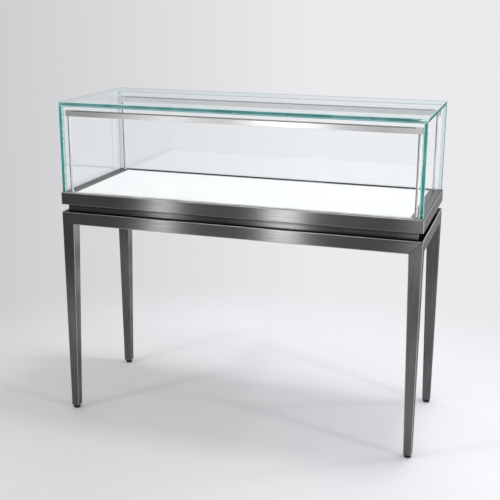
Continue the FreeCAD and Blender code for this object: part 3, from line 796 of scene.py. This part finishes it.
@dataclass
class TableFrame:
    """Tube rails and tapered legs, mitred together, with their edges deburred."""

    edge: float = 0.8 * MM
    rails: dict[str, Grain] = field(default_factory=lambda: {
        "rail_front": Grain.ALONG_X, "rail_rear": Grain.ALONG_X,
        "rail_left": Grain.ALONG_Y, "rail_right": Grain.ALONG_Y,
    })

    def build(self) -> None:
        """Eases each member, brushed along its length; all but the rear legs get a painted edge highlight.
        """
        members = self.rails | {f"leg_{corner}": Grain.ALONG_Z for corner in CORNERS}
        for node, grain in members.items():
            # The edges get a painted highlight, except on the rear legs.
            edge_paint = dark_steel(grain) if node.startswith("leg_rear") else EDGE_HIGHLIGHT_STEEL
            piece = eased(node, self.edge, dark_steel(grain), edge_paint)
            # The tops of the members get the nearly black steel as painted shade under the case.
            paint_top(piece, black_steel(grain), self.edge)
            if grain is Grain.ALONG_Z:
                self.paint_inner_highlight(piece)
            seat(piece, "counter")
        paint_nodes(ZINC_PLATE, "leg_inserts")

    def paint_inner_highlight(self, leg: bpy.types.Object) -> None:
        """Paints the face of a leg turned to the other end of the counter lighter, a painted reflection.

        Args:
            leg: The eased leg, with its other finishes.
        """
        leg.data.materials.append(INNER_FACE_HIGHLIGHT.material())
        side = math.copysign(1, sum(corner[Axis.X] for corner in leg.bound_box))
        for face in leg.data.polygons:
            if face.normal.x * side < -FACING:
                face.material_index = len(leg.data.materials) - 1


@dataclass
class LevellingFeet:
    """Screw feet: a nylon glide with a rubber pad, on a threaded stem with a hexagon."""

    pad_height: float = 1.6 * MM
    pad_inset: float = 0.7 * MM
    pad_round: float = 0.4 * MM
    lip_round: float = 0.3 * MM
    round_off: float = 1.4 * MM
    round_steps: int = 6
    glide_sides: int = 48
    shoulder: float = 3.0 * MM
    pitch: float = 1.25 * MM
    thread_depth: float = 0.6 * MM
    thread_radius: float = 4.0 * MM
    thread_steps: int = 24
    thread_weld: float = 0.005 * MM
    hexagon_edge: float = 0.35 * MM
    hexagon_height: float = 2.7 * MM
    hexagon_sides: int = 6

    def build(self) -> None:
        """Models one foot at each corner."""
        for corner in CORNERS:
            self.glide(corner)
            self.stem(corner)

    def glide(self, corner: str) -> None:
        """Turns the pad, the groove above it and the rounded nylon body.

        Args:
            corner: Which foot.
        """
        node = f"glide_{corner}"
        low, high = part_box(node)
        centre = (low + high) / 2
        radius = (high.x - low.x) / 2
        pad = radius - self.pad_inset
        pad_top = low.z + self.pad_height
        turns = [math.radians(90 / self.round_steps * step) for step in range(self.round_steps + 1)]
        arc = [
            (radius - self.round_off * (1 - math.cos(turn)), high.z - self.round_off * (1 - math.sin(turn)))
            for turn in turns
        ]
        piece = turned(f"{node}_moulded", centre, [
            (pad - self.pad_round, low.z), (pad, low.z + self.pad_round), (pad, pad_top),
            (radius - self.lip_round, pad_top), (radius, pad_top + self.lip_round),
            *arc, (self.thread_radius + self.shoulder, high.z),
        ], self.glide_sides)
        paint(piece, MOULDED_NYLON, RUBBER)
        for face in piece.data.polygons:
            face.material_index = int(face.center.z < pad_top)
        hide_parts(node)
        seat(piece, f"foot_{corner}")

    def stem(self, corner: str) -> None:
        """Winds the thread with a screw modifier and joins the hexagon below it.

        Args:
            corner: Which foot.
        """
        node = f"stem_{corner}"
        low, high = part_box(node)
        centre = (low + high) / 2
        hexagon_top = low.z + self.hexagon_height
        corner_radius = (high.y - low.y) / 2 / math.cos(math.pi / self.hexagon_sides)
        hexagon = turned(f"{node}_hexagon", centre, [
            (corner_radius, low.z), (corner_radius, hexagon_top),
        ], self.hexagon_sides)
        with editing(hexagon):
            bpy.ops.mesh.bevel(offset=self.hexagon_edge, segments=2)
        thread = self.thread(centre, hexagon_top, high.z)
        bpy.ops.object.select_all(action="DESELECT")
        thread.select_set(True)
        hexagon.select_set(True)
        bpy.context.view_layer.objects.active = hexagon
        bpy.ops.object.join()
        hexagon.name = f"{node}_threaded"
        paint(hexagon, BLACK_NICKEL)
        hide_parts(node)
        seat(hexagon, f"foot_{corner}")

    def thread(self, centre: Vector, bottom: float, top: float) -> bpy.types.Object:
        """The flank of a V thread, wound up the stem.

        Args:
            centre: A point on the stem's axis.
            bottom: Height where the thread starts.
            top: Height that it stays under.

        Returns:
            The wound thread, closed at both ends.
        """
        turns = int((top - bottom) / self.pitch) - 1
        root = self.thread_radius - self.thread_depth
        bpy.ops.object.select_all(action="DESELECT")
        bpy.ops.mesh.primitive_circle_add(vertices=3, radius=self.thread_radius)
        piece = bpy.context.active_object
        with editing(piece):
            bpy.ops.mesh.select_all(action="DESELECT")
        closing = next(edge for edge in piece.data.edges if set(edge.vertices) == {0, 2})
        closing.select = True
        flank = ((root, 0.0), (self.thread_radius, self.pitch / 2), (root, self.pitch))
        for vertex, (radius, rise) in zip(piece.data.vertices, flank):
            vertex.co = (radius, 0, rise)
        bpy.ops.object.mode_set(mode="EDIT")
        bpy.ops.mesh.delete(type="EDGE")
        bpy.ops.object.mode_set(mode="OBJECT")
        apply_modifier(
            piece, "SCREW", screw_offset=self.pitch, iterations=turns, steps=self.thread_steps,
            render_steps=self.thread_steps, use_merge_vertices=True, merge_threshold=self.thread_weld,
        )
        with editing(piece):
            bpy.ops.mesh.remove_doubles(threshold=self.thread_weld)
            bpy.ops.mesh.select_all(action="DESELECT")
            bpy.ops.mesh.select_non_manifold()
            bpy.ops.mesh.edge_face_add()
            bpy.ops.mesh.select_all(action="SELECT")
            bpy.ops.mesh.normals_make_consistent(inside=False)
            bpy.ops.transform.translate(value=(centre.x, centre.y, bottom))
        bpy.ops.object.shade_smooth_by_angle(angle=TURNED_ANGLE)
        return piece


@dataclass
class CaseBase:
    """Recessed plinth, its floor, and the folded ring that carries the glass."""

    edge: float = 0.6 * MM
    ring: dict[str, BrushedMetal] = field(default_factory=lambda: {
        "ring_front": FRONT_LEDGE_HIGHLIGHT, "ring_left": SIDE_LEDGE_HIGHLIGHT, "ring_right": SIDE_LEDGE_HIGHLIGHT,
    })

    def build(self) -> None:
        """Eases the plinth and the ring, and dresses the floor and the fasteners."""
        plinth = eased("plinth_tray", self.edge, PLINTH_STEEL, EDGE_HIGHLIGHT_STEEL)
        seat(plinth, "counter")
        for node, finish in self.ring.items():
            piece = eased(node, self.edge, dark_steel(finish.grain), EDGE_HIGHLIGHT_STEEL)
            highlight_folds(piece)
            # The ledges on top of the ring get their painted highlight.
            paint_top(piece, finish, self.edge)
            seat(piece, "counter")
        paint_nodes(black_steel(Grain.ALONG_X), "case_floor")
        paint_nodes(ZINC_PLATE, "plinth_screws", "ring_screws")


@dataclass
class GlassHood:
    """Five panes of float glass, each with clear faces, green edges and ground arrises."""

    arris: float = 1.3 * MM
    faces: dict[str, FloatGlass] = field(default_factory=lambda: {
        "pane_top": CLEAR_FACE, "pane_front": COATED_FACE, "pane_right": COATED_FACE,
        "pane_left": BACK_FACE, "pane_rear": BACK_FACE,
    })
    bonded: dict[str, tuple[Axis, ...]] = field(default_factory=lambda: {
        "pane_top": (), "pane_front": (Axis.X, Axis.Z), "pane_left": (Axis.Z,), "pane_right": (Axis.Z,),
        "pane_rear": (),
    })

    def build(self) -> None:
        """Cuts each pane, the rear one on the deck that pulls out."""
        for node, bonded_axes in self.bonded.items():
            body = "tray" if node == "pane_rear" else "counter"
            seat(self.pane(node, bonded_axes), body)
        paint_nodes(SILICONE, "hood_bedding", "rear_seals")

    def pane(self, node: str, bonded_axes: tuple[Axis, ...]) -> bpy.types.Object:
        """A pane with its edges seamed all round.

        Args:
            node: The CAD node that it stands for.
            bonded_axes: Axes along which its edges meet another pane.

        Returns:
            The pane, with a finish for each kind of face.
        """
        low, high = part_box(node)
        piece = block(f"{node}_glass", low, high)
        with editing(piece):
            bpy.ops.mesh.bevel(offset=self.arris, segments=1)
        edge = POLISHED_EDGE if node == "pane_top" else UPRIGHT_EDGE
        paint(piece, self.faces[node], edge, BONDED_EDGE, GROUND_ARRIS, DULL_ARRIS, GROUND_EDGE)
        size = high - low
        thin = min(Axis, key=lambda axis: size[axis])
        for face in piece.data.polygons:
            share = [abs(part) for part in face.normal]
            axis = max(Axis, key=lambda candidate: share[candidate])
            # The foot of a pane stands in its clear bedding, so it stays clear.
            if face.center.z < low.z + self.arris and share[Axis.Z] > HALFWAY:
                face.material_index = PaneSlot.FACE
            elif share[axis] < SQUARE:
                face.material_index = self.arris_slot(node, face.normal)
            elif axis != thin:
                face.material_index = self.edge_slot(node, face.normal, axis in bonded_axes)
        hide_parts(node)
        return piece

    def edge_slot(self, node: str, normal: Vector, bonded: bool) -> PaneSlot:
        """Which of a pane's finishes an edge gets.

        Args:
            node: The pane's CAD node.
            normal: Where the edge faces.
            bonded: Whether it meets another pane.

        Returns:
            The material slot.
        """
        if normal.z > FACING and node == "pane_rear":
            return PaneSlot.GROUND
        if normal.z > FACING and node in ("pane_left", "pane_right"):
            return PaneSlot.FACE
        return PaneSlot.BONDED if bonded else PaneSlot.EDGE

    def arris_slot(self, node: str, normal: Vector) -> PaneSlot:
        """Which of a pane's finishes an arris gets.

        Args:
            node: The pane's CAD node.
            normal: Where the arris faces.

        Returns:
            The material slot.
        """
        if node == "pane_top":
            if normal.z < SLANTED:
                return PaneSlot.EDGE
            dull = normal.x < -SLANTED or normal.y > SLANTED
            return PaneSlot.DULL_ARRIS if dull else PaneSlot.ARRIS
        if normal.z > SLANTED:
            if node == "pane_rear":
                return PaneSlot.GROUND
            return PaneSlot.EDGE if normal.y < -SLANTED else PaneSlot.FACE
        return PaneSlot.EDGE if node == "pane_rear" else PaneSlot.ARRIS


@dataclass
class PullOutDeck:
    """White deck on a pan, with the rear front, its lock and the runners."""

    edge: float = 0.4 * MM
    lock_edge: float = 0.2 * MM

    def build(self) -> None:
        """Eases the rear front and the lock, and dresses what the deck stands on."""
        front = eased("drawer_front", self.edge, dark_steel(Grain.ALONG_X), EDGE_HIGHLIGHT_STEEL)
        highlight_folds(front)
        seat(front, "tray")
        for node, body in (("lock_housing", "tray"), ("lock_plug", "lock")):
            piece = eased(node, self.lock_edge, SATIN_NICKEL)
            seat(piece, body)
        paint_nodes(WHITE_LAMINATE, "deck")
        paint_nodes(SILICONE, "rear_gasket")
        paint_nodes(ZINC_PLATE, "tray_pan", "runners_outer", "runners_middle", "runners_inner", "lock_cam")


@dataclass
class Lights:
    """Two light bars on four posts, with their driver and leads."""

    edge: float = 0.4 * MM
    seam_drop: float = 0.5 * MM
    seam_width: float = 1.2 * MM

    def build(self) -> None:
        """Eases the bars' metal and dresses posts, diffusers and wiring."""
        for side in ("front", "rear"):
            for node in (f"light_channel_{side}", f"light_ends_{side}"):
                piece = eased(node, self.edge, SATIN_ALUMINIUM)
                if "channel" in node:
                    self.paint_seam_shade(piece)
                else:
                    self.cap(piece)
                seat(piece, "counter")
            paint_nodes(OPAL_ACRYLIC, f"light_diffuser_{side}")
            paint_nodes(WHITE_BOARD, f"light_board_{side}")
            paint_nodes(VINYL, f"lead_{side}")
        paint_nodes(POLISHED_STEEL, "post_ferrules", *(f"post_{corner}" for corner in CORNERS))
        paint_nodes(ZINC_PLATE, "post_nuts")
        paint_nodes(MOULDED_NYLON, "led_driver", "power_inlet")

    def cap(self, ends: bpy.types.Object) -> None:
        """Closes the outer ends of a bar with dark caps.

        Args:
            ends: The bar's two eased end blocks.
        """
        paint(ends, SATIN_ALUMINIUM, SEAM)
        outer = max(corner[Axis.X] for corner in ends.bound_box) - self.edge
        for face in ends.data.polygons:
            if abs(face.normal.x) > FACING and abs(face.center.x) > outer:
                face.material_index = BarSlot.SEAM

    def paint_seam_shade(self, channel: bpy.types.Object) -> None:
        """Paints a dark seam of shade along both sides of a bar under its top, and painted shade on its
        top.

        Args:
            channel: The bar's eased extrusion.
        """
        seam_top = max(corner[Axis.Z] for corner in channel.bound_box) - self.seam_drop
        with editing(channel):
            for height in (seam_top, seam_top - self.seam_width):
                bpy.ops.mesh.select_all(action="SELECT")
                bpy.ops.mesh.bisect(plane_co=(0, 0, height), plane_no=(0, 0, 1))
        paint(channel, SATIN_ALUMINIUM, SEAM, SHADED_TOP_ALUMINIUM)
        for face in channel.data.polygons:
            below = seam_top - face.center.z
            if 0 < below < self.seam_width and abs(face.normal.y) > FACING:
                face.material_index = BarSlot.SEAM
            elif face.normal.z > FACING and face.center.z > seam_top:
                face.material_index = BarSlot.BACK


class Target(Enum):
    """What a lamp lights, with the name of its collection."""

    ALL_BUT_GLASS = "all_but_glass"
    METAL = "bare_metal"
    FRONT_BARS = "front_bars"
    REAR_BARS = "rear_bars"
    LEFT_SIDE = "left_side"
    REAR_LIGHT = "rear_light"
    FLOOR = "floor_alone"

    def holds(self, piece: bpy.types.Object) -> bool:
        """Whether a piece is in this target, by its name and its first finish.

        Args:
            piece: Any object of the scene.

        Returns:
            True where the target's lamps light it.
        """
        if piece.type != "MESH":
            return False
        finish = piece.data.materials[0].name
        upright = Grain.ALONG_Z.name.lower() in finish
        at_rear = "rear" in piece.name
        return {
            Target.ALL_BUT_GLASS: "float_glass" not in finish,
            Target.METAL: finish.startswith(("brushed", "satin", "polished")),
            Target.FRONT_BARS: finish.startswith(("brushed", "satin")) and not upright and not at_rear,
            Target.REAR_BARS: piece.name.startswith(("rail_rear", "drawer_front", "plinth_tray")),
            Target.LEFT_SIDE: finish.startswith("brushed") and "left" in piece.name,
            Target.REAR_LIGHT: finish.startswith("satin") and at_rear,
            Target.FLOOR: piece.name == FLOOR,
        }[self]

    def collection(self) -> bpy.types.Collection:
        """The target's pieces as a collection.

        Returns:
            The collection, made the first time that a lamp asks for it.
        """
        made = bpy.data.collections.get(self.value)
        if made is None:
            made = bpy.data.collections.new(self.value)
            for piece in filter(self.holds, bpy.data.objects):
                made.objects.link(piece)
        return made


@dataclass
class Softbox:
    """A rectangular studio lamp with a plain white front, flagged off all but its target."""

    name: str
    place: Vector
    width: float
    height: float
    radiance: float
    target: Target
    aim: Vector = field(default_factory=lambda: Vector((0, 0, 0.6)))

    def build(self) -> None:
        """Hangs the lamp and turns it to its aim, hidden from the camera."""
        turn = (self.aim - self.place).to_track_quat("-Z", "Y")
        bpy.ops.object.light_add(type="AREA", location=self.place, rotation=turn.to_euler())
        lamp = bpy.context.active_object
        lamp.name = self.name
        lamp.data.shape = "RECTANGLE"
        lamp.data.size = self.width
        lamp.data.size_y = self.height
        lamp.data.energy = self.radiance * math.pi * self.width * self.height
        lamp.visible_camera = False
        lamp.light_linking.receiver_collection = self.target.collection()


@dataclass
class Studio:
    """Pale floor, a backdrop that brightens to the right, soft lamps and the camera.

    Dark flags stand round the front left, where only metal shows them.
    """

    camera_place: Vector = field(default_factory=lambda: Vector((0.78218, -2.47412, 1.21872)))
    camera_yaw: float = 0.31052
    camera_pitch: float = -0.27804
    camera_roll: float = 0.00419
    lens_mm: float = 68.16
    fill: float = 0.87
    fill_colour: str = "#fdfdff"
    backdrop_way: Vector = field(default_factory=lambda: Vector((0.43, 0.186, 0.0)))
    backdrop_from: float = -0.42
    backdrop_to: float = 0.08
    backdrop_dark: str = "#6a6b6d"
    backdrop_pale: str = "#ebebee"
    least_pale: float = 0.68
    floor_way: Vector = field(default_factory=lambda: Vector((0.2, 0.21, 0.0)))
    floor_from: float = -0.18
    floor_to: float = 0.1
    floor_shaded: str = "#d2d2d2"
    floor_lit: str = "#ebebee"
    floor_radius: float = 6.0
    floor_sides: int = 96
    fade_centre: Vector = field(default_factory=lambda: Vector((0.0, -0.55, 0.0)))
    fade_start: float = 0.95
    fade_end: float = 1.7

    def build(self) -> None:
        """Sets up all that isn't part of the counter."""
        bpy.context.scene.view_settings.view_transform = "Standard"
        self.backdrop()
        self.floor()
        self.lamps()
        self.camera()

    def backdrop(self) -> None:
        """A world that lights evenly and shows as a grey that brightens to the right and the rear.

        The camera and the mirror in the glass see at least the share least_pale of its pale end, and only
        metal sees its dark end.
        """
        world = bpy.data.worlds.new("studio")
        bpy.context.scene.world = world
        world.use_nodes = True
        tree = world.node_tree
        tree.nodes.clear()
        way = add_node(tree, "TexCoord").outputs["Generated"]
        along = add_node(tree, "VectorMath", {0: way, 1: self.backdrop_way}, operation="DOT_PRODUCT")
        level = add_node(tree, "MapRange", {
            "Value": along.outputs["Value"], "From Min": self.backdrop_from, "From Max": self.backdrop_to,
        })
        path = add_node(tree, "LightPath")
        plain = add_node(tree, "Math", {
            0: path.outputs["Is Camera Ray"], 1: path.outputs["Is Singular Ray"],
        }, operation="MAXIMUM")
        pale = add_node(tree, "Math", {0: plain.outputs[0], 1: self.least_pale}, operation="MULTIPLY")
        level = add_node(tree, "Math", {0: level.outputs[0], 1: pale.outputs[0]}, operation="MAXIMUM")
        tone = add_node(tree, "Mix", {
            0: level.outputs[0], 6: linear(self.backdrop_dark), 7: linear(self.backdrop_pale),
        }, data_type="RGBA")
        shown = add_node(tree, "Background", {"Color": tone.outputs[2], "Strength": 1.0})
        light = add_node(tree, "Background", {"Color": linear(self.fill_colour), "Strength": self.fill})
        seen = add_node(tree, "Math", {
            0: path.outputs["Is Camera Ray"], 1: path.outputs["Is Glossy Ray"],
        }, operation="MAXIMUM")
        seen = add_node(tree, "Math", {
            0: seen.outputs[0], 1: path.outputs["Is Transmission Ray"],
        }, operation="MAXIMUM")
        both = add_node(tree, "MixShader", {0: seen.outputs[0], 1: light.outputs[0], 2: shown.outputs[0]})
        add_node(tree, "OutputWorld", {"Surface": both.outputs[0]})

    def floor(self) -> None:
        """A pale matt floor that fades into the backdrop, and hides nothing from below."""
        bpy.ops.object.select_all(action="DESELECT")
        bpy.ops.mesh.primitive_circle_add(
            vertices=self.floor_sides, radius=self.floor_radius, fill_type="NGON",
        )
        floor = bpy.context.active_object
        floor.name = FLOOR
        material = bpy.data.materials.new("pale_floor")
        material.use_nodes = True
        tree = material.node_tree
        tree.nodes.clear()
        place = add_node(tree, "TexCoord").outputs["Object"]
        along = add_node(tree, "VectorMath", {0: place, 1: self.floor_way}, operation="DOT_PRODUCT")
        level = add_node(tree, "MapRange", {
            "Value": along.outputs["Value"], "From Min": self.floor_from, "From Max": self.floor_to,
        })
        # The floor is painted paler to the right and rear, painted light for the lamps' fall-off.
        tone = add_node(tree, "Mix", {
            0: level.outputs[0], 6: linear(self.floor_shaded), 7: linear(self.floor_lit),
        }, data_type="RGBA")
        matt = add_node(tree, "BsdfDiffuse", {"Color": tone.outputs[2]})
        away = add_node(tree, "VectorMath", {0: place, 1: self.fade_centre}, operation="DISTANCE")
        fade = add_node(tree, "MapRange", {
            "Value": away.outputs["Value"], "From Min": self.fade_start, "From Max": self.fade_end,
        }, interpolation_type="SMOOTHSTEP")
        below = add_node(tree, "NewGeometry").outputs["Backfacing"]
        unseen = add_node(tree, "Math", {0: fade.outputs[0], 1: below}, operation="MAXIMUM")
        clear = add_node(tree, "BsdfTransparent")
        both = add_node(tree, "MixShader", {0: unseen.outputs[0], 1: matt.outputs[0], 2: clear.outputs[0]})
        add_node(tree, "OutputMaterial", {"Surface": both.outputs[0]})
        floor.data.materials.append(material)

    def lamps(self) -> None:
        """Hangs the lamps, each linked to what it lights.

        The overhead box casts the soft shadow, and the spots cast the faint crossed shadows of the legs.
        The strips draw the bright bands across brushed steel. The boxes lift what would mirror only the
        dark.
        """
        for lamp in (
            Softbox("overhead_box", Vector((0.62, 0.22, 3.2)), 0.55, 0.55, 24.6, Target.ALL_BUT_GLASS),
            Softbox("right_spot", Vector((2.3, -0.75, 2.4)), 0.16, 0.16, 105.0, Target.FLOOR),
            Softbox("left_spot", Vector((-1.6, -1.5, 2.4)), 0.16, 0.16, 85.0, Target.FLOOR),
            Softbox("far_spot", Vector((2.0, 0.8, 2.4)), 0.16, 0.16, 60.0, Target.FLOOR),
            Softbox("left_strip", Vector((-1.47, -3.2, 0.85)), 0.13, 2.6, 7.5, Target.FRONT_BARS),
            Softbox("middle_strip", Vector((-0.7, -3.2, 0.85)), 0.2, 2.6, 9.3, Target.FRONT_BARS),
            Softbox("front_box", Vector((0.5, -3.0, 0.3)), 0.9, 2.4, 1.25, Target.METAL),
            Softbox("right_box", Vector((3.0, -0.35, 0.7)), 0.7, 1.8, 2.6, Target.METAL),
            Softbox("rear_box", Vector((1.9, 2.6, 0.4)), 1.4, 2.0, 1.0, Target.METAL),
            Softbox("rear_strip", Vector((0.5, 3.2, 0.2)), 0.16, 1.6, 11.0, Target.REAR_BARS),
            Softbox("far_rear_strip", Vector((-0.6, 3.2, 0.2)), 0.14, 1.6, 8.0, Target.REAR_BARS),
            Softbox("bar_box", Vector((-1.6, -3.0, 1.0)), 3.0, 2.0, 1.5, Target.REAR_LIGHT),
            Softbox("left_box", Vector((-3.0, 0.3, 0.7)), 0.7, 1.8, 5.0, Target.LEFT_SIDE),
        ):
            lamp.build()

    def camera(self) -> None:
        """Stands the camera where the photograph was taken from."""
        bpy.ops.object.camera_add(location=self.camera_place)
        camera = bpy.context.active_object
        turn = Matrix.Rotation(self.camera_yaw, 4, "Z")
        turn @= Matrix.Rotation(math.pi / 2 + self.camera_pitch, 4, "X")
        turn @= Matrix.Rotation(self.camera_roll, 4, "Z")
        camera.rotation_euler = turn.to_euler()
        camera.data.lens = self.lens_mm
        bpy.context.scene.camera = camera


def main() -> None:
    """Builds and dresses the counter's sub-assemblies in order, then the studio round it."""
    for part in (TableFrame(), LevellingFeet(), CaseBase(), GlassHood(), PullOutDeck(), Lights(), Studio()):
        part.build()
        log.info("%s is done", type(part).__name__)


if __name__ == "__main__":
    main()
